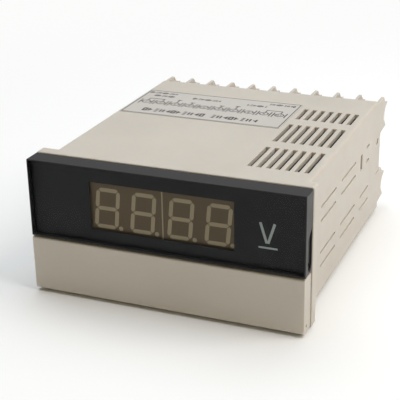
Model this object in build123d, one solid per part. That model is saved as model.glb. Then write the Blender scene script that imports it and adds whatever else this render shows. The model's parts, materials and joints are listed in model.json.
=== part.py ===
from build123d import *
import os

# Digital panel meter with a 96 x 48 mm front. Millimetres.
# While drawing: X to the right, Y from the front face backwards, Z up from the
# underside of the bezel. save() then moves the origin to the middle of the
# underside of the bounding box.

# Driving sizes
bezel_w = 96.0
bezel_h = 48.0
depth = 117.3
bezel_front = 7.0
flange_t = 4.0
rebate = 1.0
rebate_gap = 0.1
bezel_corner = 0.8
body_inset_x = 3.5
body_inset_z = 1.6
body_corner = 0.9
wall = 1.6
play = 0.3

# Front: black display frame above, hinged setting flap below
front_inset = 0.2
flap_share = 0.424
parting_gap = 0.5
shadow_gap = 0.5
cap_wall = 1.4
cap_corner = 0.45
cap_round = 0.3
rib_grow = 0.6
lens_border = 0.5
lens_corner = 0.35
lens_play = 0.1
lens_front = 0.15
lens_t = 1.5
mask_t = 0.3
web_t = 1.5
recess_y = (2.4, 5.9)
recess_top = (0.44, 0.54)
recess_deep = 0.5
pin_hole_r = 1.45
pin_hole_rise = 2.0
pin_hole_deep = 1.1
pin_r = 0.55

# Setting flap and its pivots
flap_side_gap = 0.1
flap_t = 1.2
flap_side_t = 1.5
flap_lift = 0.95
flap_lip = 3.4
flap_lip_t = 1.0
flap_fall = 0.35
flap_round = 0.9
pivot_y = 2.5
pivot_z = 3.0
pivot_r = 0.6
pivot_play = 0.06
pivot_inset = 0.4
arm_t = 1.8
arm_r = 1.0
arm_gap = 0.5
swing_r = 4.0

# Seven-segment modules, as shares of the frame and of a module
led_face = 2.6
led_seam = 0.5
led_seam_x = -0.6
led_w_share = 0.2646
led_h_share = 0.6985
led_foot_share = 0.0974
window_trim = (0.35, 0.95, 2.3, 0.15)
digit_pitch_share = 0.504
digit_w_share = 0.2835
digit_h_share = 0.747
digit_foot_share = 0.145
digit_slant = 0.0981
digit_shift = -0.2
seg_w = 1.35
seg_gap = 0.16
seg_deep = 0.3
point_r = 0.8
point_gap = 1.75

# Controls behind the flap
control_share = 0.55
trimmer_shares = {"zero": -0.323, "span": -0.146}
trimmer_size_share = 0.496
trimmer_rise = 0.8
rotor_share = 0.66
rotor_play = 0.08
rotor_rise = 0.4
rotor_deep = 1.7
rotor_slot = 0.9
dip_share = 0.125
dip_ways = 4
dip_pitch = 2.54
dip_h_share = 0.517
dip_rise = 1.3
slot_w = 1.5
slot_deep = 2.6
slider_w = 1.3
slider_h = 2.2
slider_rise = 0.9
slider_travel = 2.0

# Boards
board_t = 1.6
collar_l = 6.0
collar_gap = 0.2
collar_t = 1.5
rail_t = 1.7
rail_h = 1.2
main_lift = 5.4

# Barrier terminal rows
ways = 10
barrier_l = 14.9
barrier_t = 1.1
row_share = 0.3125
foot_lift = 2.0
floor_t = 3.0
floor_sink = 2.8
ledge_t = 1.3
ledge_l = 4.7
screw_share = 0.52
plate_side_gap = 0.7
plate_share = 0.64
plate_t = 0.8
clamp_t = 1.0
clamp_trim = 0.1
head_share = 0.32
head_t = 2.0
catch_y = (-0.9, 2.1)
catch_z = (3.2, 0.9)

# Vents and slots in the case, as shares of its length and height
vent_count = 7
vent_pitch_share = 0.0358
vent_w_share = 0.53
vent_edge = 3.65
vent_rows = [(0.118, 0.326), (0.393, 0.602), (0.67, 0.804)]
slit_h = 0.9
slit_columns = [
    ((0.178, 0.375), (0.703, 0.591, 0.338, 0.226)),
    ((0.446, 0.656), (0.703, 0.591, 0.338, 0.226)),
    ((0.735, 0.872), (0.338, 0.226)),
]
clip_slots = [
    (0.728, 0.758, 0.571, 0.705),
    (0.82, 0.867, 0.7, 0.722),
    (0.82, 0.867, 0.574, 0.597),
]

# Wiring label, as shares of the body's width and length
label_edge = 1.2
label_w_share = 0.6994
label_span = (0.536, 0.8485)
label_t = 0.15

# Sizes that follow
panel_seat = bezel_front + flange_t
case_front = panel_seat - rebate
body_end = depth - barrier_l
body_l = body_end - panel_seat
body_x = bezel_w / 2 - body_inset_x
body_z0 = body_inset_z
body_z1 = bezel_h - body_inset_z
body_h = body_z1 - body_z0
mid_z = bezel_h / 2
inner_x = body_x - wall
inner_z0 = body_z0 + wall
inner_z1 = body_z1 - wall

cap_x = bezel_w / 2 - front_inset
cap_z1 = bezel_h - front_inset
parting = flap_share * bezel_h
cap_z0 = parting + parting_gap / 2
cap_h = cap_z1 - cap_z0
cap_rear = bezel_front - shadow_gap
flap_x = cap_x - flap_side_gap
flap_z0 = flap_lift
flap_z1 = parting - parting_gap / 2
flap_h = flap_z1 - flap_z0
flap_rear = cap_rear - front_inset
mask_front = lens_front + lens_t
web_front = mask_front + mask_t
arm_x1 = flap_x - flap_side_t - arm_gap
arm_x0 = arm_x1 - arm_t

led_w = led_w_share * bezel_w
led_z0 = cap_z0 + led_foot_share * cap_h
led_z1 = led_z0 + led_h_share * cap_h
led_h = led_z1 - led_z0
led_x = {
    "left": led_seam_x - led_seam / 2 - led_w,
    "right": led_seam_x + led_seam / 2,
}
led_end = led_x["right"] + led_w
digit_pitch = digit_pitch_share * led_w
digit_w = digit_w_share * led_w
digit_h = digit_h_share * led_h
digit_z0 = led_z0 + digit_foot_share * led_h

control_z = flap_z0 + control_share * flap_h
trimmer_size = trimmer_size_share * flap_h
trimmer_front = bezel_front - trimmer_rise
dip_x = dip_share * bezel_w
dip_w = (dip_ways + 0.6) * dip_pitch
dip_h = dip_h_share * flap_h
dip_front = bezel_front - dip_rise

collar_x = inner_x - collar_gap
collar_z0 = inner_z0 + collar_gap
collar_z1 = inner_z1 - collar_gap
collar_end = panel_seat + collar_l
board_back = panel_seat + board_t

floor_rear = body_end - floor_sink
floor_front = floor_rear - floor_t
ledge_end = body_end + ledge_l
terminal_board_front = floor_front - board_t
row_h = row_share * body_h
row_z0 = body_z1 - row_h
low_row_z0 = body_z0 + foot_lift
low_row_z1 = low_row_z0 + row_h
row_drop = row_z0 - low_row_z0
screw_z = row_z0 + screw_share * row_h
bay_pitch = (2 * body_x - barrier_t) / ways
bay_x = [-body_x + barrier_t / 2 + bay_pitch * (i + 0.5) for i in range(ways)]
plate_w = bay_pitch - barrier_t - 2 * plate_side_gap
plate_h = plate_share * row_h
plate_rear = floor_rear + plate_t
clamp_rear = plate_rear + clamp_t

main_z = body_z0 + main_lift
main_top = main_z + board_t
main_x = inner_x - play
main_front = collar_end + play
main_end = terminal_board_front - play
main_l = main_end - main_front
headroom = inner_z1 - main_top


def block(x0, x1, y0, y1, z0, z1):
    middle = Pos((x0 + x1) / 2, (y0 + y1) / 2, (z0 + z1) / 2)
    return middle * Box(x1 - x0, y1 - y0, z1 - z0)


def front_plane(x, y, z):
    return Plane(origin=(x, y, z), x_dir=(1, 0, 0), z_dir=(0, -1, 0))


def side_plane(x, y, z):
    return Plane(origin=(x, y, z), x_dir=(0, 1, 0), z_dir=(1, 0, 0))


def rounded(x0, x1, y0, y1, z0, z1, radius):
    """Block with its four edges along Y rounded."""
    outline = RectangleRounded(x1 - x0, z1 - z0, radius)
    placed = front_plane((x0 + x1) / 2, y0, (z0 + z1) / 2) * outline
    return extrude(placed, amount=y1 - y0, dir=(0, 1, 0))


def face_shape(points, y0, y1):
    """Outline given as (x, z), run from y0 back to y1."""
    outline = front_plane(0, y0, 0) * Polygon(*points, align=None)
    return extrude(outline, amount=y1 - y0, dir=(0, 1, 0))


def side_shape(points, x0, x1):
    """Outline given as (y, z), run from x0 to x1."""
    outline = side_plane(x0, 0, 0) * Polygon(*points, align=None)
    return extrude(outline, amount=x1 - x0, dir=(1, 0, 0))


def rod_y(x, z, radius, y0, y1):
    outline = front_plane(x, y0, z) * Circle(radius)
    return extrude(outline, amount=y1 - y0, dir=(0, 1, 0))


def rod_x(y, z, radius, x0, x1):
    return extrude(side_plane(x0, y, z) * Circle(radius), amount=x1 - x0)


def both_sides(shape):
    return [shape, shape.mirror(Plane.YZ)]


def below(shape):
    """The same shape in the lower row."""
    return Pos(0, 0, -row_drop) * shape


def save(name, *shapes):
    moved = [Pos(0, -depth / 2, 0) * s for shape in shapes for s in shape.solids()]
    whole = moved[0] if len(moved) == 1 else Compound(children=moved)
    whole.label = name
    export_step(whole, f"parts/{name}.step")


def make_case():
    """Open tube with vents above and below, side slots, rails for the board and a
    tab behind each side that the rear cover catches in."""
    case = rounded(-body_x, body_x, case_front, body_end, body_z0, body_z1, body_corner)
    case -= block(-inner_x, inner_x, case_front, body_end, inner_z0, inner_z1)
    pitch = vent_pitch_share * 2 * body_x
    vent_w = vent_w_share * pitch
    for start, end in vent_rows:
        for i in range(vent_count):
            x = body_x - vent_edge - pitch * i
            case -= block(x - vent_w / 2, x + vent_w / 2,
                          panel_seat + start * body_l, panel_seat + end * body_l,
                          body_z0 - wall, body_z1 + wall)
    for (start, end), heights in slit_columns:
        for share in heights:
            z = body_z0 + share * body_h
            case -= block(-bezel_w, bezel_w,
                          panel_seat + start * body_l, panel_seat + end * body_l,
                          z - slit_h / 2, z + slit_h / 2)
    for start, end, low, high in clip_slots:
        case -= block(-bezel_w, bezel_w,
                      panel_seat + start * body_l, panel_seat + end * body_l,
                      body_z0 + low * body_h, body_z0 + high * body_h)
    case += both_sides(block(inner_x, body_x, body_end, ledge_end, low_row_z1, row_z0))
    case -= block(-bezel_w, bezel_w, body_end + catch_y[0], body_end + catch_y[1],
                  row_z0 - catch_z[0], row_z0 - catch_z[1])
    rail = block(inner_x - rail_t, inner_x, main_front, terminal_board_front,
                 main_z - rail_h, main_z)
    return case + both_sides(rail)


def display_opening(y0, y1):
    return block(led_x["left"] - play, led_end + play, y0, y1,
                 led_z0 - play, led_z1 + play)


def square_opening(x, w, h):
    return block(x - w / 2 - play, x + w / 2 + play, bezel_front, panel_seat,
                 control_z - h / 2 - play, control_z + h / 2 + play)


def make_bezel():
    """Flange with a rebate round the case's end, collar that plugs into the case,
    and the flap's two pivot arms."""
    bezel = rounded(-bezel_w / 2, bezel_w / 2, bezel_front, panel_seat, 0, bezel_h,
                    bezel_corner)
    bezel = chamfer(bezel.faces().sort_by(Axis.Y)[0].edges(), bezel_corner / 4)
    bezel -= rounded(-body_x - rebate_gap, body_x + rebate_gap, case_front, panel_seat,
                     body_z0 - rebate_gap, body_z1 + rebate_gap,
                     body_corner + rebate_gap)
    bezel += block(-collar_x, collar_x, case_front, collar_end, collar_z0, collar_z1)
    bezel -= block(-collar_x + collar_t, collar_x - collar_t, panel_seat, collar_end,
                   collar_z0 + collar_t, collar_z1 - collar_t)
    bezel -= display_opening(bezel_front, panel_seat)
    for share in trimmer_shares.values():
        bezel -= square_opening(share * bezel_w, trimmer_size, trimmer_size)
    bezel -= square_opening(dip_x, dip_w, dip_h)
    arm = block(arm_x0, arm_x1, pivot_y, bezel_front, pivot_z - arm_r, pivot_z + arm_r)
    arm += rod_x(pivot_y, pivot_z, arm_r, arm_x0, arm_x1)
    arm += rod_x(pivot_y, pivot_z, pivot_r, arm_x1, flap_x - pivot_inset)
    return bezel + both_sides(arm)


lens_outline = (
    -cap_x + lens_border,
    cap_x - lens_border,
    cap_z0 + lens_border,
    cap_z1 - lens_border,
)


def lens_sheet(y0, y1):
    x0, x1, z0, z1 = lens_outline
    return rounded(x0 + lens_play, x1 - lens_play, y0, y1,
                   z0 + lens_play, z1 - lens_play, lens_corner - lens_play)


def side_recess():
    """Shallow recess in the cap's side, slanted above, with a ring round a pin
    at its lower end."""
    y0, y1 = recess_y
    hole_y = (y0 + y1) / 2
    hole_z = cap_z0 + pin_hole_rise
    outline = [(y0, hole_z), (y1, hole_z), (y1, cap_z0 + recess_top[1] * cap_h),
               (y0, cap_z0 + recess_top[0] * cap_h)]
    recess = side_shape(outline, cap_x - recess_deep, cap_x + 1)
    recess += rod_x(hole_y, hole_z, pin_hole_r, cap_x - pin_hole_deep, cap_x + 1)
    return recess - rod_x(hole_y, hole_z, pin_r, cap_x - pin_hole_deep, cap_x - recess_deep)


def make_frame():
    """Black cap over the upper half; a rib at its rear touches the bezel."""
    frame = block(-cap_x, cap_x, 0, cap_rear, cap_z0, cap_z1)
    long_edges = frame.edges().filter_by(Axis.Y).sort_by(Axis.Z)
    frame = fillet(long_edges[-2:], cap_corner)
    frame = fillet(frame.faces().sort_by(Axis.Y)[0].edges(), cap_round)
    x = cap_x - cap_wall
    z0 = cap_z0 + cap_wall
    z1 = cap_z1 - cap_wall
    frame += block(-x - rib_grow, x + rib_grow, cap_rear, bezel_front,
                   z0 - rib_grow, z1 + rib_grow)
    frame -= block(-x, x, web_front + web_t, bezel_front, z0, z1)
    x0, x1, z0, z1 = lens_outline
    frame -= rounded(x0, x1, 0, web_front, z0, z1, lens_corner)
    frame -= display_opening(0, cap_rear)
    return frame - both_sides(side_recess())


def make_mask():
    left, right, low, high = window_trim
    return lens_sheet(mask_front, web_front) - block(
        led_x["left"] + left, led_end - right, mask_front, web_front,
        led_z0 + low, led_z1 - high)


def make_flap():
    """Shell that turns down about pins near its lower edge."""
    flap = block(-flap_x, flap_x, 0, flap_rear, flap_z0, flap_z1)
    flap = fillet(flap.edges().filter_by(Axis.X).sort_by(Axis.Y)[:2], flap_round)
    x = flap_x - flap_side_t
    flap -= block(-x, x, flap_t, flap_rear, flap_z0 + flap_lip_t, flap_z1 - flap_t)
    flap -= block(-x, x, flap_lip, flap_rear, 0, bezel_h)
    notch = block(arm_x0 - arm_gap, arm_x1 + arm_gap, flap_t, flap_rear,
                  0, pivot_z + arm_r + arm_gap)
    flap -= both_sides(notch)
    heel = block(-bezel_w, bezel_w, pivot_y, bezel_front, 0, pivot_z)
    flap -= heel - rod_x(pivot_y, pivot_z, swing_r, -bezel_w, bezel_w)
    fall = [(flap_lip, flap_z1), (flap_rear, flap_z1 - flap_fall), (flap_rear, cap_z0),
            (flap_lip, cap_z0)]
    flap -= side_shape(fall, -bezel_w, bezel_w)
    return flap - rod_x(pivot_y, pivot_z, pivot_r + pivot_play, -bezel_w, bezel_w)


def slanted(points, x):
    return [(x + px + (pz - digit_z0) * digit_slant, pz) for px, pz in points]


def segment(x0, z0, x1, z1):
    """Six-sided segment between two corners of the digit's skeleton."""
    h = seg_w / 2
    g = seg_gap
    if z0 == z1:
        return [(x0 + g, z0), (x0 + g + h, z0 + h), (x1 - g - h, z0 + h),
                (x1 - g, z0), (x1 - g - h, z0 - h), (x0 + g + h, z0 - h)]
    return [(x0, z0 + g), (x0 + h, z0 + g + h), (x0 + h, z1 - g - h),
            (x0, z1 - g), (x0 - h, z1 - g - h), (x0 - h, z0 + g + h)]


def digit(x):
    half_w = digit_w / 2
    low = digit_z0 + seg_w / 2
    high = digit_z0 + digit_h - seg_w / 2
    middle = (low + high) / 2
    lines = [(-half_w, z, half_w, z) for z in (low, middle, high)]
    for side in (-half_w, half_w):
        lines += [(side, low, side, middle), (side, middle, side, high)]
    back = led_face + seg_deep
    made = [face_shape(slanted(segment(*line), x), led_face, back) for line in lines]
    point = front_plane(x + half_w + point_gap, led_face, low)
    point *= RegularPolygon(point_r, 8)
    made.append(extrude(point, amount=seg_deep, dir=(0, 1, 0)))
    return made


def save_displays():
    for name, x0 in led_x.items():
        centre = x0 + led_w / 2 + digit_shift - digit_slant * digit_h / 2
        segments = digit(centre - digit_pitch / 2) + digit(centre + digit_pitch / 2)
        module = block(x0, x0 + led_w, led_face, panel_seat, led_z0, led_z1)
        save(f"led_module_{name}", module - segments)
        save(f"led_segments_{name}", *segments)


def save_trimmers():
    """Square bodies that reach through the bezel, each with a slotted rotor."""
    size = trimmer_size / 2
    rotor_r = rotor_share * size
    top = trimmer_front - rotor_rise
    for name, share in trimmer_shares.items():
        x = share * bezel_w
        body = block(x - size, x + size, trimmer_front, panel_seat,
                     control_z - size, control_z + size)
        body -= rod_y(x, control_z, rotor_r + rotor_play, trimmer_front,
                      trimmer_front + rotor_deep + play)
        save(f"{name}_trimmer_body", body)
        rotor = rod_y(x, control_z, rotor_r, top, trimmer_front + rotor_deep)
        rotor -= block(x - rotor_slot / 2, x + rotor_slot / 2, top, top + rotor_slot,
                       control_z - 0.77 * rotor_r, control_z + 0.77 * rotor_r)
        save(f"{name}_trimmer_rotor", rotor)


def save_dip_switch():
    """Switch block whose sliders rest at the lower end of their slots."""
    slot_end = dip_front + slot_deep
    reach = (slider_travel + slider_h) / 2
    body = block(dip_x - dip_w / 2, dip_x + dip_w / 2, dip_front, panel_seat,
                 control_z - dip_h / 2, control_z + dip_h / 2)
    for i in range(dip_ways):
        x = dip_x + dip_pitch * (i - (dip_ways - 1) / 2)
        body -= block(x - slot_w / 2, x + slot_w / 2, dip_front, slot_end,
                      control_z - reach - play, control_z + reach + play)
        save(f"dip_slider_{i + 1}",
             block(x - slider_w / 2, x + slider_w / 2, dip_front - slider_rise,
                   slot_end - play, control_z - reach, control_z - reach + slider_h))
    save("dip_switch_body", body)


def on_board(x0, x1, y0, y1, z0, z1):
    """Block on the main board: x as shares of half its width, y as shares of
    its length, z as shares of the room above it."""
    return block(x0 * main_x, x1 * main_x,
                 main_front + y0 * main_l, main_front + y1 * main_l,
                 main_top + z0 * headroom, main_top + z1 * headroom)


def can(x, y, radius, height):
    place = Plane.XY.offset(main_top) * Pos(x * main_x, main_front + y * main_l)
    return extrude(place * Circle(radius * main_x), amount=height * headroom)


def save_boards():
    save("display_board",
         block(-collar_x + collar_t + play, collar_x - collar_t - play,
               panel_seat, board_back,
               collar_z0 + collar_t + play, collar_z1 - collar_t - play))
    save("driver_chip", block(-led_w / 2, led_w / 2, board_back, board_back + 2 * board_t,
                              led_z0 + led_h / 4, led_z0 + 3 * led_h / 4))
    save("main_board", block(-main_x, main_x, main_front, main_end, main_z, main_top))
    header = on_board(-0.47, 0.47, 0, 0.04, 0, 0.07)
    header += block(-0.47 * main_x, 0.47 * main_x, board_back, main_front,
                    main_top, main_top + 0.07 * headroom)
    save("board_header", header)


def save_transformer():
    """Laminated core with two windows, a bobbin on the board, and the winding."""
    core = on_board(-0.91, -0.16, 0.65, 0.8, 0.06, 0.8)
    core -= on_board(-0.79, -0.65, 0.65, 0.8, 0.21, 0.65)
    core -= on_board(-0.42, -0.28, 0.65, 0.8, 0.21, 0.65)
    save("transformer_core", core)

    def around_leg(low, high):
        ring = on_board(-0.78, -0.29, 0.58, 0.87, low, high)
        return ring - on_board(-0.66, -0.41, 0.645, 0.805, low, high)

    bobbin = on_board(-0.86, -0.21, 0.57, 0.88, 0, 0.055)
    bobbin += on_board(-0.72, -0.35, 0.58, 0.64, 0.055, 0.22)
    bobbin += on_board(-0.72, -0.35, 0.81, 0.87, 0.055, 0.22)
    save("transformer_bobbin", bobbin + around_leg(0.22, 0.25))
    save("transformer_winding", around_leg(0.25, 0.62))


def save_supply():
    save("filter_capacitor_large", can(0.24, 0.81, 0.148, 0.55))
    save("filter_capacitor_small", can(0.56, 0.84, 0.117, 0.44))
    sink = on_board(0.61, 0.94, 0.577, 0.6, 0, 0.69)
    for i in range(4):
        left = 0.61 + 0.099 * i
        sink += on_board(left, left + 0.033, 0.6, 0.71, 0, 0.69)
    save("regulator_heatsink", sink)
    regulator = on_board(0.66, 0.89, 0.52, 0.577, 0.16, 0.41)
    regulator += on_board(0.66, 0.89, 0.56, 0.577, 0.41, 0.58)
    for left in (0.69, 0.765, 0.84):
        regulator += on_board(left, left + 0.019, 0.54, 0.55, 0, 0.16)
    save("voltage_regulator", regulator)
    save("bridge_rectifier", on_board(0.09, 0.45, 0.577, 0.635, 0, 0.28))
    save("chip_socket", on_board(-0.61, 0.61, 0.16, 0.38, 0, 0.116))
    save("converter_chip", on_board(-0.61, 0.61, 0.18, 0.36, 0.116, 0.22))


def make_cover():
    """Plate between the terminal rows, with a hollow plug and two catches."""
    low = low_row_z1
    cover = block(-collar_x, collar_x, body_end, ledge_end, low, row_z0)
    plug = block(-collar_x, collar_x, floor_front, body_end, low, row_z0)
    plug -= block(-collar_x + wall, collar_x - wall, floor_front, body_end,
                  low + wall, row_z0 - wall)
    catch = block(collar_x, body_x - pivot_inset,
                  body_end + catch_y[0] + play, body_end + catch_y[1] - play,
                  row_z0 - catch_z[0] + play, row_z0 - catch_z[1] - play)
    return cover + plug + both_sides(catch)


def barrier_outline():
    """Side view of a barrier behind the case: three horns with dips between."""
    points = [(0, 0), (ledge_l, 0), (0.88, 0.05), (0.66, 0.3), (0.7, 0.48),
              (0.8, 0.6), (1, 0.7), (0.71, 0.79), (0.58, 0.95), (0, 0.95)]
    outline = [(body_end + y * barrier_l, row_z0 + z * row_h) for y, z in points]
    outline[1] = (ledge_end, row_z0)
    return outline


def make_terminal_row(top):
    """Floor and ledge of the upper row, with a shaped barrier between the ways."""
    row = block(-collar_x, collar_x, floor_front, floor_rear, row_z0, top)
    row += block(-collar_x, collar_x, floor_rear, body_end, row_z0, row_z0 + ledge_t)
    row += block(-body_x, body_x, body_end, ledge_end, row_z0, row_z0 + ledge_t)
    for i in range(ways + 1):
        x0 = -body_x + bay_pitch * i
        row += side_shape(barrier_outline(), x0, x0 + barrier_t)
        if 0 < i < ways:
            row += block(x0, x0 + barrier_t, floor_rear, body_end, row_z0, top)
    return row & rounded(-body_x, body_x, floor_front, depth, body_z0, body_z1,
                         body_corner)


def save_terminals():
    """Ten ways a row: contact plate, square clamp and the head of its screw."""
    save("terminal_block_upper", make_terminal_row(inner_z1 - collar_gap))
    foot = block(-body_x, body_x, body_end, ledge_end, body_z0, low_row_z0 + ledge_t)
    save("terminal_block_lower", below(make_terminal_row(body_z1)) + foot)
    save("terminal_board",
         block(-main_x, main_x, terminal_board_front, floor_front,
               inner_z0 + play, inner_z1 - play))
    plates = []
    clamps = []
    screws = []
    clamp_half = plate_w / 2 - clamp_trim
    for x in bay_x:
        plates.append(block(x - plate_w / 2, x + plate_w / 2, floor_rear, plate_rear,
                            screw_z - plate_h / 2, screw_z + plate_h / 2))
        clamps.append(block(x - clamp_half, x + clamp_half, plate_rear, clamp_rear,
                            screw_z - clamp_half, screw_z + clamp_half))
        screws.append(rod_y(x, screw_z, head_share * bay_pitch, clamp_rear,
                            clamp_rear + head_t))
    for name, pieces in (("plates", plates), ("clamps", clamps), ("screws", screws)):
        save(f"terminal_{name}_upper", *pieces)
        save(f"terminal_{name}_lower", *[below(piece) for piece in pieces])


def make_label():
    x0 = -body_x + label_edge
    return block(x0, x0 + label_w_share * 2 * body_x,
                 panel_seat + label_span[0] * body_l, panel_seat + label_span[1] * body_l,
                 body_z1, body_z1 + label_t)


os.makedirs("parts", exist_ok=True)
save("case_body", make_case())
save("front_bezel", make_bezel())
save("display_frame", make_frame())
save("front_lens", lens_sheet(lens_front, mask_front))
save("lens_mask", make_mask())
save("setting_flap", make_flap())
save_displays()
save_trimmers()
save_dip_switch()
save_boards()
save_transformer()
save_supply()
save("rear_cover", make_cover())
save_terminals()
save("wiring_label", make_label())
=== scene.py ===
import json
import math

import bmesh
import bpy
from mathutils import Matrix, Vector


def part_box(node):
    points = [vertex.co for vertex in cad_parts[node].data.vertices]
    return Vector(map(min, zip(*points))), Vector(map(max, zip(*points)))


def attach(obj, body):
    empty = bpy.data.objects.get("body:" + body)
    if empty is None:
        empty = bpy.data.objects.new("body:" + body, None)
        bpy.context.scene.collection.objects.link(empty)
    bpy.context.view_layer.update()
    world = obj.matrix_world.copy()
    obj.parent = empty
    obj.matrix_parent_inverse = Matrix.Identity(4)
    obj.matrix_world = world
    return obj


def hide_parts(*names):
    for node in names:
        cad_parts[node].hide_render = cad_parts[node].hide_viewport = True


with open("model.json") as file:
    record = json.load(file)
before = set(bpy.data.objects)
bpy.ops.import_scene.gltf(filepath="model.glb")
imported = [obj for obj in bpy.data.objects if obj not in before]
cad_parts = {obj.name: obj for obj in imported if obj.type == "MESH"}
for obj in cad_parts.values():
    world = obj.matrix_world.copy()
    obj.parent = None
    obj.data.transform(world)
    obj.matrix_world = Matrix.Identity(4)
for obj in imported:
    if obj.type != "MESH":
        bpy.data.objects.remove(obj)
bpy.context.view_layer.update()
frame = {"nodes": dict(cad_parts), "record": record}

# Lengths below are in millimetres in the CAD frame, and MM turns them into metres.
MM = 0.001
LENS_SETBACK = 0.15
FRONT_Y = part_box("front_lens")[0].y / MM - LENS_SETBACK
HOUSING = "housing"
WAYS = 10


# Materials

# A noise texture keeps mostly between these two values.
NOISE_LOW, NOISE_HIGH = 0.3, 0.7
# Sockets of a colour mix node, which share their names with those of other types.
MIX_FACTOR, MIX_A, MIX_B, MIX_RESULT = 0, 6, 7, 2
# Distance in metres over which a wave texture repeats at scale 1.
WAVE_PERIOD = 0.314


def links_of(material):
    tree = material.node_tree
    return tree.nodes, tree.links


def new_material(name, rough, specular, metallic=0.0):
    material = bpy.data.materials.new(name)
    material.use_nodes = True
    shader = material.node_tree.nodes["Principled BSDF"]
    shader.inputs["Roughness"].default_value = rough
    shader.inputs["Specular IOR Level"].default_value = specular
    shader.inputs["Metallic"].default_value = metallic
    return material, shader


def noise(material, scale, detail, stretch=(1, 1, 1)):
    """Noise in the node's own coordinates, with scale counted per metre."""
    nodes, links = links_of(material)
    place = nodes.new("ShaderNodeTexCoord")
    mapping = nodes.new("ShaderNodeMapping")
    mapping.inputs["Scale"].default_value = stretch
    texture = nodes.new("ShaderNodeTexNoise")
    texture.inputs["Scale"].default_value = scale
    texture.inputs["Detail"].default_value = detail
    links.new(place.outputs["Object"], mapping.inputs["Vector"])
    links.new(mapping.outputs["Vector"], texture.inputs["Vector"])
    return texture.outputs["Fac"]


def ranged(material, source, low, high):
    """The source's usual span stretched to run from low to high."""
    nodes, links = links_of(material)
    spread = nodes.new("ShaderNodeMapRange")
    spread.inputs["From Min"].default_value = NOISE_LOW
    spread.inputs["From Max"].default_value = NOISE_HIGH
    spread.inputs["To Min"].default_value = low
    spread.inputs["To Max"].default_value = high
    links.new(source, spread.inputs["Value"])
    return spread.outputs["Result"]


def tint(material, shader, colour, other, source):
    """Base colour that drifts between two near colours."""
    nodes, links = links_of(material)
    mix = nodes.new("ShaderNodeMix")
    mix.data_type = "RGBA"
    mix.inputs[MIX_A].default_value = (*colour, 1)
    mix.inputs[MIX_B].default_value = (*other, 1)
    links.new(ranged(material, source, 0, 1), mix.inputs[MIX_FACTOR])
    links.new(mix.outputs[MIX_RESULT], shader.inputs["Base Color"])


def vary_gloss(material, shader, source, low, high):
    links = material.node_tree.links
    links.new(ranged(material, source, low, high), shader.inputs["Roughness"])


def bump(material, shader, source, depth_mm):
    nodes, links = links_of(material)
    node = nodes.new("ShaderNodeBump")
    node.inputs["Distance"].default_value = depth_mm * MM
    node.inputs["Strength"].default_value = 1.0
    links.new(source, node.inputs["Height"])
    links.new(node.outputs["Normal"], shader.inputs["Normal"])


def moulded(name, colour, rough, grain_mm=0.35, relief_mm=0.012, drift=0.05):
    """Moulded plastic: a fine mould texture, a slow drift of colour and gloss."""
    material, shader = new_material(name, rough, 0.45)
    clouds = noise(material, 28, 2)
    patches = noise(material, 160, 4)
    grain = noise(material, 1 / (grain_mm * MM), 2)
    tint(material, shader, colour, tuple(c * (1 - drift) for c in colour), clouds)
    vary_gloss(material, shader, patches, rough - 0.05, rough + 0.05)
    bump(material, shader, grain, relief_mm)
    return material


def settled_dust(material, shader, colour, top_sheen):
    """Base colour that lightens on faces that look up: a painted sheen standing in for
    the light from above.
    """
    nodes, links = links_of(material)
    place = nodes.new("ShaderNodeTexCoord")
    split = nodes.new("ShaderNodeSeparateXYZ")
    links.new(place.outputs["Normal"], split.inputs["Vector"])
    tint(material, shader, colour, top_sheen, split.outputs["Z"])


def black_cap(name):
    """Satin black plastic, made paler on top by a painted sheen."""
    material, shader = new_material(name, 0.34, 0.13)
    patches = noise(material, 160, 4)
    grain = noise(material, 3000, 2)
    # Painted sheen: faces that look up get a paler base colour, as if lit from above.
    settled_dust(material, shader, (0.026, 0.026, 0.026), (0.056, 0.056, 0.057))
    vary_gloss(material, shader, patches, 0.29, 0.39)
    bump(material, shader, grain, 0.006)
    return material


def translucent(material, weight, depth_mm):
    """Lets light spread a little inside thin plastic walls."""
    shader = material.node_tree.nodes["Principled BSDF"]
    shader.inputs["Subsurface Weight"].default_value = weight
    shader.inputs["Subsurface Radius"].default_value = (1.0, 0.85, 0.7)
    shader.inputs["Subsurface Scale"].default_value = depth_mm * MM


def metal(name, colour, rough, stretch):
    """Plated or drawn metal with fine lines along one direction."""
    drift = 0.12
    relief_mm = 0.006
    material, shader = new_material(name, rough, 0.5, 1.0)
    lines = noise(material, 900, 4, stretch)
    patches = noise(material, 300, 3)
    tint(material, shader, colour, tuple(c * (1 - drift) for c in colour), lines)
    vary_gloss(material, shader, patches, rough - 0.07, rough + 0.1)
    bump(material, shader, lines, relief_mm)
    return material


def ink(name, colour):
    """Printed ink, slightly uneven in cover."""
    material, shader = new_material(name, 0.5, 0.3)
    cover = noise(material, 2400, 3)
    grain = noise(material, 5000, 2)
    worn = tuple(c * 0.82 + 0.01 for c in colour)
    tint(material, shader, colour, worn, cover)
    bump(material, shader, grain, 0.004)
    return material


def smoked(name):
    """Smoked acrylic: mostly clear, with a dark tint and a hard gloss."""
    material, shader = new_material(name, 0.06, 0.11)
    shader.inputs["Alpha"].default_value = 0.16
    clouds = noise(material, 90, 3)
    patches = noise(material, 400, 4)
    waviness = noise(material, 60, 2)
    tint(material, shader, (0.009, 0.011, 0.014), (0.007, 0.009, 0.012), clouds)
    vary_gloss(material, shader, patches, 0.05, 0.09)
    bump(material, shader, waviness, 0.0015)
    return material


def board(name):
    """Green solder resist over copper tracks that show as low ridges."""
    material, shader = new_material(name, 0.35, 0.5)
    tracks = noise(material, 420, 1, (1, 1, 0.25))
    tint(material, shader, (0.012, 0.11, 0.035), (0.02, 0.19, 0.06), tracks)
    bump(material, shader, tracks, 0.03)
    return material


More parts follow.
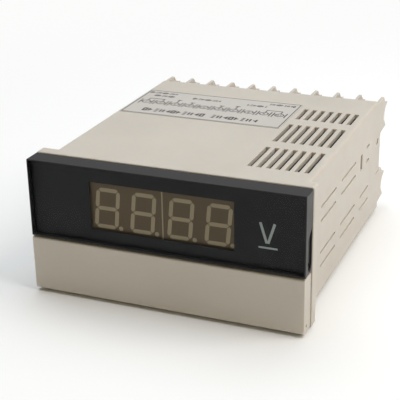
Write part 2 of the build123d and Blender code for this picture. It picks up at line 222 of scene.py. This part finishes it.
def laminated(name, pitch_mm):
    """Stacked steel sheets seen edge on."""
    material, shader = new_material(name, 0.45, 0.5, 0.8)
    nodes, links = links_of(material)
    place = nodes.new("ShaderNodeTexCoord")
    wave = nodes.new("ShaderNodeTexWave")
    wave.bands_direction = "Y"
    wave.inputs["Scale"].default_value = WAVE_PERIOD / (pitch_mm * MM) / 2
    wave.inputs["Distortion"].default_value = 0.4
    links.new(place.outputs["Object"], wave.inputs["Vector"])
    sheets = wave.outputs["Fac"]
    tint(material, shader, (0.16, 0.16, 0.17), (0.30, 0.30, 0.31), sheets)
    bump(material, shader, sheets, 0.05)
    return material


BEIGE = (0.605, 0.556, 0.488)
look = {
    "case_plastic": moulded("case_plastic_look", BEIGE, 0.52),
    "frame_black": black_cap("frame_black_look"),
    "smoked_lens": smoked("smoked_lens_look"),
    "mask_black": moulded("mask_black_look", (0.006, 0.0065, 0.008), 0.5, 0.3,
                          0.002),
    "module_grey": moulded("module_look", (0.205, 0.150, 0.085), 0.5, 0.25, 0.006,
                           0.1),
    "segment": moulded("segment_look", (0.62, 0.52, 0.33), 0.4, 0.2, 0.004, 0.12),
    "circuit_board": board("circuit_board_look"),
    "chip_black": moulded("chip_look", (0.018, 0.018, 0.019), 0.55, 0.2, 0.015),
    "trimmer_blue": moulded("trimmer_look", (0.020, 0.075, 0.33), 0.3),
    "brass": metal("brass_look", (0.70, 0.50, 0.20), 0.28, (1, 1, 0.05)),
    "switch_red": moulded("switch_look", (0.38, 0.016, 0.012), 0.35),
    "slider_white": moulded("slider_look", (0.75, 0.74, 0.70), 0.4),
    "core_steel": laminated("core_look", 0.5),
    "bobbin_plastic": moulded("bobbin_look", (0.03, 0.03, 0.03), 0.5),
    "winding_tape": moulded("winding_look", (0.62, 0.42, 0.05), 0.3, 1.2, 0.05,
                            0.25),
    "capacitor_sleeve": moulded("capacitor_look", (0.012, 0.018, 0.07), 0.25),
    "aluminium": metal("aluminium_look", (0.72, 0.72, 0.73), 0.4, (0.05, 1, 1)),
    "plated_steel": metal("plated_look", (0.66, 0.65, 0.62), 0.3, (1, 1, 0.1)),
    "label": moulded("label_look", (0.615, 0.58, 0.54), 0.42, 0.6, 0.004, 0.04),
}
translucent(look["case_plastic"], 0.6, 1.6)
label_ink = ink("label_ink", (0.025, 0.025, 0.03))
unit_ink = ink("unit_ink", (0.44, 0.50, 0.49))
number_ink = ink("number_ink", (0.80, 0.80, 0.78))

for part in frame["record"]["subparts"]:
    node = frame["nodes"][part["node"]]
    material = look[part["material_slot"]]
    if node.material_slots:
        node.material_slots[0].material = material
    else:
        node.data.materials.append(material)


# Small rounding on the moulded edges, which catches the light

EDGE_ANGLE = math.radians(40)


def soften(node_name, width_mm, segments=2):
    node = frame["nodes"][node_name]
    bevel = node.modifiers.new("edge", "BEVEL")
    bevel.width = width_mm * MM
    bevel.segments = segments
    bevel.limit_method = "ANGLE"
    bevel.angle_limit = EDGE_ANGLE
    bevel.use_clamp_overlap = True
    bevel.harden_normals = False


soften("case_body", 0.08)
soften("setting_flap", 0.35, 3)
soften("terminal_block_upper", 0.15)
soften("terminal_block_lower", 0.15)
soften("rear_cover", 0.12)
soften("front_bezel", 0.15)
for row in ("upper", "lower"):
    soften(f"terminal_clamps_{row}", 0.15)
    soften(f"terminal_plates_{row}", 0.08)
for name in ("zero_trimmer_body", "span_trimmer_body", "dip_switch_body"):
    soften(name, 0.15)


# Mesh helpers

# Type size over the height of the built-in font's digits.
FONT_SCALE = 1.4


def piece(name, mesh, material, body):
    thing = bpy.data.objects.new(name, mesh)
    bpy.context.scene.collection.objects.link(thing)
    mesh.materials.clear()
    mesh.materials.append(material)
    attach(thing, body)
    return thing


def slab(bm, corners, lift):
    """Thin closed slab on a flat outline, raised by the vector lift."""
    low = [bm.verts.new(c) for c in corners]
    high = [bm.verts.new(Vector(c) + lift) for c in corners]
    count = len(corners)
    bm.faces.new(low)
    bm.faces.new(high[::-1])
    for i in range(count):
        j = (i + 1) % count
        bm.faces.new((low[j], low[i], high[i], high[j]))


def finish_mesh(bm, name):
    bmesh.ops.recalc_face_normals(bm, faces=bm.faces)
    mesh = bpy.data.meshes.new(name)
    bm.to_mesh(mesh)
    bm.free()
    return mesh


def stroke(p, q, width):
    """Four corners of a straight line between two points of a flat drawing."""
    along = Vector((q[0] - p[0], q[1] - p[1])).normalized()
    side = Vector((-along.y, along.x)) * width / 2
    return [(p[0] + side.x, p[1] + side.y), (p[0] - side.x, p[1] - side.y),
            (q[0] - side.x, q[1] - side.y), (q[0] + side.x, q[1] + side.y)]


class Drawing:
    """Ink on a flat face. Points are (u, v) in millimetres from a corner."""

    def __init__(self, origin, u_axis, v_axis, thickness=0.02):
        self.origin = Vector(origin)
        self.u = Vector(u_axis)
        self.v = Vector(v_axis)
        self.lift = self.u.cross(self.v) * thickness * MM
        self.bm = bmesh.new()

    def at(self, u, v):
        return (self.origin + self.u * u + self.v * v) * MM

    def line(self, p, q, width):
        slab(self.bm, [self.at(*c) for c in stroke(p, q, width)], self.lift)

    def box(self, u0, v0, u1, v1, width):
        h = width / 2
        self.line((u0 - h, v0), (u1 + h, v0), width)
        self.line((u0 - h, v1), (u1 + h, v1), width)
        self.line((u0, v0 + h), (u0, v1 - h), width)
        self.line((u1, v0 + h), (u1, v1 - h), width)

    def ring(self, u, v, radius, width, count=20):
        inner = radius - width
        for i in range(count):
            a = 2 * math.pi * i / count
            b = 2 * math.pi * (i + 1) / count
            corners = [(u + r * math.cos(t), v + r * math.sin(t))
                       for r, t in ((inner, a), (radius, a), (radius, b), (inner, b))]
            slab(self.bm, [self.at(*c) for c in corners], self.lift)

    def number(self, text, u, v, height):
        """Digits centred on a point, from the built-in font."""
        curve = bpy.data.curves.new("digits", "FONT")
        curve.body = text
        curve.size = height * FONT_SCALE
        curve.align_x = "CENTER"
        curve.resolution_u = 3
        holder = bpy.data.objects.new("digits", curve)
        bpy.context.scene.collection.objects.link(holder)
        bpy.context.view_layer.update()
        depsgraph = bpy.context.evaluated_depsgraph_get()
        flat = bpy.data.meshes.new_from_object(holder.evaluated_get(depsgraph))
        bpy.data.objects.remove(holder)
        bpy.data.curves.remove(curve)
        start = len(self.bm.verts)
        self.bm.from_mesh(flat)
        bpy.data.meshes.remove(flat)
        self.bm.verts.ensure_lookup_table()
        made = self.bm.verts[start:]
        for vert in made:
            vert.co = self.at(u + vert.co.x, v - height / 2 + vert.co.y)
        faces = list({f for vert in made for f in vert.link_faces})
        grown = bmesh.ops.extrude_face_region(self.bm, geom=faces)
        moved = [g for g in grown["geom"] if isinstance(g, bmesh.types.BMVert)]
        bmesh.ops.translate(self.bm, verts=moved, vec=self.lift)

    def finish(self, name, material):
        piece(name, finish_mesh(self.bm, name), material, HOUSING)


# Wiring label: border, ten numbered terminals, leads and plain marks, read from behind

def small_marks(sheet, u, v, count, height, weight, pitch, gap=-1):
    """A run of abstract marks from uprights and bars, none of them a letter."""
    low, high = v - height / 2, v + height / 2
    mark_share = 0.52
    closed = 4
    for i in range(count):
        if i == gap:
            continue
        left = u + i * pitch
        right = left + pitch * mark_share
        kind = (i + count) % (closed + 1)
        uprights = ((left,), (left, right), (), (right,), (left, right))[kind]
        bars = ((v,), (), (low, v, high), (v,), (low, high))[kind]
        for x in uprights:
            sheet.line((x, low), (x, high), weight)
        reach = weight / 2 if kind == closed else 0
        for y in bars:
            sheet.line((left - reach, y), (right + reach, y), weight)


def draw_label():
    low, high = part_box("wiring_label")
    length = (high.x - low.x) / MM
    width = (high.y - low.y) / MM
    sheet = Drawing((high.x / MM, high.y / MM, high.z / MM), (-1, 0, 0), (0, -1, 0))
    edge, edge_w = 0.5, 0.3
    sheet.box(edge, edge, length - edge, width - edge, edge_w)

    row_start, row_v = 1.5, 14.6
    pitch = (length - 2 * row_start) / WAYS
    centres = [row_start + pitch * (i + 0.5) for i in range(WAYS)]
    ring_r, ring_w, ring_sides, number_h = 1.75, 0.36, 24, 1.6
    rail_off, rail_half, rail_w = 2.4, 2.5, 0.4
    spoke_off, spoke_w = 1.7, 0.3
    for i, u in enumerate(centres):
        sheet.ring(u, row_v, ring_r, ring_w, ring_sides)
        sheet.number(str(WAYS - i), u, row_v, number_h)
        for side in (-1, 1):
            rail = u + side * rail_off
            sheet.line((rail, row_v - rail_half), (rail, row_v + rail_half), rail_w)
            sheet.line((u + side * spoke_off, row_v), (rail, row_v), spoke_w)

    # Leads from the rings: two pairs are joined, and four end in a short bar.
    leads = {0: 4.2, 1: 4.2, 3: 5.0, 4: 3.6, 6: 3.6, 7: 5.0, 8: 4.2, 9: 4.2}
    lead_foot, lead_w, joint_w = 1.8, 0.38, 0.4
    bar_half, bar_w = 0.9, 0.45
    for i, reach in leads.items():
        u = centres[i]
        sheet.line((u, row_v - lead_foot), (u, row_v - reach), lead_w)
    for i in (0, 8):
        v = row_v - leads[i]
        sheet.line((centres[i], v), (centres[i] + pitch, v), joint_w)
    for i in (3, 4, 6, 7):
        u, v = centres[i], row_v - leads[i]
        sheet.line((u - bar_half, v), (u + bar_half, v), bar_w)

    small_h, small_w, small_pitch = 1.5, 0.34, 1.15
    for u, v, count in ((2.0, 3.2, 9), (12.0, 6.6, 7), (31.0, 5.8, 10),
                        (50.0, 3.0, 10), (49.5, 6.4, 8)):
        small_marks(sheet, u, v, count, small_h, small_w, small_pitch)
    title_v, title_h, title_w, title_pitch = width - 5.0, 2.7, 0.62, 2.28
    small_marks(sheet, 10.2, title_v, 20, title_h, title_w, title_pitch, gap=8)
    sheet.finish("label_print", label_ink)


draw_label()


# Unit mark behind the lens: a V over a bar, the sign for direct voltage

def draw_unit():
    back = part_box("lens_mask")[0].y / MM
    off, thickness = 0.03, 0.015
    sheet = Drawing((0, back - off, 0), (1, 0, 0), (0, 0, 1), thickness)
    top_z, foot_z, bar_z = 36.6, 29.8, 28.3
    stroke_w, bar_w = 0.85, 0.62
    sheet.line((32.65, top_z), (34.8, foot_z), stroke_w)
    sheet.line((37.35, top_z), (35.2, foot_z), stroke_w)
    sheet.line((32.1, bar_z), (38.3, bar_z), bar_w)
    sheet.finish("unit_mark", unit_ink)


draw_unit()


# Light edge of the display modules, seen along their joint

def draw_module_joint():
    left_low, left_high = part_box("led_module_left")
    right_low, right_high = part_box("led_module_right")
    gap, depth = 0.02 * MM, 1.0 * MM
    x0, x1 = left_high.x + gap, right_low.x - gap
    face = left_low.y
    bm = bmesh.new()
    corners = [(x0, face, left_low.z), (x1, face, left_low.z),
               (x1, face, left_high.z), (x0, face, left_high.z)]
    slab(bm, corners, Vector((0, depth, 0)))
    piece("module_joint", finish_mesh(bm, "module_joint"), look["segment"], HOUSING)


draw_module_joint()


# Numbers on the switch behind the flap

def draw_switch_numbers():
    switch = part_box("dip_switch_body")[0] / MM
    thickness, rise, number_h = 0.015, 1.4, 1.3
    sheet = Drawing((0, switch.y, 0), (1, 0, 0), (0, 0, 1), thickness)
    for i in range(1, 5):
        low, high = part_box(f"dip_slider_{i}")
        sheet.number(str(i), (low.x + high.x) / 2 / MM, switch.z + rise, number_h)
    sheet.finish("switch_numbers", number_ink)


draw_switch_numbers()


# Screw heads with a cross recess

def screw_head(radius, height):
    """Domed head along +Y from y = 0, with a cross cut into its crown."""
    steps = 32
    profile = [(1.0, 0.0), (1.0, 0.5), (0.96, 0.68), (0.86, 0.84), (0.68, 0.95),
               (0.4, 1.0)]
    turns = [2 * math.pi * i / steps for i in range(steps)]
    bm = bmesh.new()
    loops = [[bm.verts.new((radius * r * math.cos(t), height * h,
                            radius * r * math.sin(t))) for t in turns]
             for r, h in profile]
    for lower, upper in zip(loops, loops[1:]):
        for i in range(steps):
            j = (i + 1) % steps
            bm.faces.new((lower[i], lower[j], upper[j], upper[i]))
    bm.faces.new(loops[0])
    bm.faces.new(loops[-1])
    head = finish_mesh(bm, "screw_head")
    cutter = bmesh.new()
    arm = radius * 0.62
    half = radius * 0.13
    foot = height * 0.35
    for a, b in ((arm, half), (half, arm)):
        corners = [(-a, foot, -b), (a, foot, -b), (a, foot, b), (-a, foot, b)]
        slab(cutter, corners, Vector((0, height, 0)))
    base = bpy.data.objects.new("head_work", head)
    tool = bpy.data.objects.new("cross_work", finish_mesh(cutter, "cross"))
    for thing in (base, tool):
        bpy.context.scene.collection.objects.link(thing)
    cut = base.modifiers.new("cut", "BOOLEAN")
    cut.operation = "DIFFERENCE"
    cut.solver = "EXACT"
    cut.use_self = True
    cut.object = tool
    bpy.context.view_layer.update()
    depsgraph = bpy.context.evaluated_depsgraph_get()
    made = bpy.data.meshes.new_from_object(base.evaluated_get(depsgraph))
    bpy.data.objects.remove(base)
    bpy.data.objects.remove(tool)
    return made


def place_screws():
    """Ten heads a row, each left at a turn of its own by the screwdriver."""
    low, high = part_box("terminal_screws_upper")
    radius = (high.z - low.z) / 2
    head = screw_head(radius, high.y - low.y)
    pitch = (high.x - low.x - 2 * radius) / (WAYS - 1)
    first_turn, turn_step = 17, 37
    for row in ("upper", "lower"):
        low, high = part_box(f"terminal_screws_{row}")
        bm = bmesh.new()
        for i in range(WAYS):
            start = len(bm.verts)
            bm.from_mesh(head)
            bm.verts.ensure_lookup_table()
            spot = Vector((low.x + radius + pitch * i, low.y, (low.z + high.z) / 2))
            degrees = first_turn + turn_step * i
            turn = Matrix.Rotation(math.radians(degrees), 3, "Y")
            for vert in bm.verts[start:]:
                vert.co = spot + turn @ vert.co
        name = f"screw_heads_{row}"
        heads = piece(name, finish_mesh(bm, name), look["plated_steel"], HOUSING)
        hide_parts(f"terminal_screws_{row}")


place_screws()


# Floor, light and camera

BACKDROP = (0.97, 0.97, 0.965, 1)
AIM = (0, 0, 0.02)


def fade_to_backdrop(material, shader, near, far):
    """The floor turns into the pale backdrop between two distances from the
    meter, for the camera alone."""
    nodes, links = links_of(material)
    place = nodes.new("ShaderNodeTexCoord")
    reach = nodes.new("ShaderNodeVectorMath")
    reach.operation = "LENGTH"
    links.new(place.outputs["Object"], reach.inputs[0])
    share = nodes.new("ShaderNodeMapRange")
    share.interpolation_type = "SMOOTHSTEP"
    share.inputs["From Min"].default_value = near
    share.inputs["From Max"].default_value = far
    links.new(reach.outputs["Value"], share.inputs["Value"])
    ray = nodes.new("ShaderNodeLightPath")
    seen = nodes.new("ShaderNodeMath")
    seen.operation = "MULTIPLY"
    links.new(share.outputs["Result"], seen.inputs[0])
    links.new(ray.outputs["Is Camera Ray"], seen.inputs[1])
    pale = nodes.new("ShaderNodeEmission")
    pale.inputs["Color"].default_value = BACKDROP
    mix = nodes.new("ShaderNodeMixShader")
    links.new(seen.outputs[0], mix.inputs[0])
    links.new(shader.outputs[0], mix.inputs[1])
    links.new(pale.outputs[0], mix.inputs[2])
    links.new(mix.outputs[0], nodes["Material Output"].inputs["Surface"])


def make_floor():
    half, level = 3.0, -0.0002
    corners = [(-half, -half, level), (half, -half, level), (half, half, level),
               (-half, half, level)]
    mesh = bpy.data.meshes.new("floor")
    mesh.from_pydata(corners, [], [(0, 1, 2, 3)])
    floor = bpy.data.objects.new("floor", mesh)
    bpy.context.scene.collection.objects.link(floor)
    material, shader = new_material("floor_look", 0.9, 0.1)
    clouds = noise(material, 3, 2)
    tint(material, shader, (0.97, 0.965, 0.955), (0.96, 0.955, 0.945), clouds)
    fade_to_backdrop(material, shader, 0.06, 0.42)
    mesh.materials.append(material)


def area_light(name, energy, size, place, colour):
    data = bpy.data.lights.new(name, "AREA")
    data.energy = energy
    data.size = size
    data.color = colour
    lamp = bpy.data.objects.new(name, data)
    lamp.location = place
    beam = Vector(AIM) - Vector(place)
    lamp.rotation_euler = beam.to_track_quat("-Z", "Y").to_euler()
    bpy.context.scene.collection.objects.link(lamp)


def pale_backdrop(world, fill):
    """Pale wall past the end of the floor, which adds no light of its own."""
    nodes = world.node_tree.nodes
    links = world.node_tree.links
    wall = nodes.new("ShaderNodeBackground")
    wall.inputs["Color"].default_value = BACKDROP
    ray = nodes.new("ShaderNodeLightPath")
    mix = nodes.new("ShaderNodeMixShader")
    links.new(ray.outputs["Is Camera Ray"], mix.inputs[0])
    links.new(fill.outputs[0], mix.inputs[1])
    links.new(wall.outputs[0], mix.inputs[2])
    links.new(mix.outputs[0], nodes["World Output"].inputs["Surface"])


def make_light():
    world = bpy.data.worlds.new("studio")
    world.use_nodes = True
    background = world.node_tree.nodes["Background"]
    background.inputs["Color"].default_value = (1.0, 0.92, 0.78, 1)
    background.inputs["Strength"].default_value = 0.14
    pale_backdrop(world, background)
    bpy.context.scene.world = world
    area_light("overhead", 27, 2.0, (-0.25, 0.45, 1.7), (0.85, 0.92, 1))
    area_light("right_side", 9.6, 0.85, (0.86, 0.06, 0.93), (1, 0.965, 0.92))
    area_light("front_fill", 1.05, 0.8, (-0.2, -1.1, 0.7), (1, 0.84, 0.45))


def make_camera():
    """Viewpoint worked out from the known 96 x 48 mm front in the photograph."""
    focal_px = 1081.2
    frame_px = 400
    azimuth = math.radians(22.756)
    elevation = math.radians(22.505)
    roll = math.radians(-1.115)
    place = Vector((132.554, FRONT_Y - 283.711, 169.362)) * MM
    back = Vector((math.sin(azimuth) * math.cos(elevation),
                   -math.cos(azimuth) * math.cos(elevation), math.sin(elevation)))
    right = (-back).cross(Vector((0, 0, 1))).normalized()
    up = right.cross(-back)
    across = right * math.cos(roll) + up * math.sin(roll)
    upright = -right * math.sin(roll) + up * math.cos(roll)
    sensor_mm = 36
    data = bpy.data.cameras.new("camera")
    data.sensor_width = sensor_mm
    data.lens = focal_px / frame_px * sensor_mm
    data.clip_start = 0.01
    camera = bpy.data.objects.new("camera", data)
    turn = Matrix((across, upright, back)).transposed().to_4x4()
    camera.matrix_world = Matrix.Translation(place) @ turn
    bpy.context.scene.collection.objects.link(camera)
    bpy.context.scene.camera = camera


make_floor()
make_light()
make_camera()
bpy.context.scene.view_settings.view_transform = "Standard"
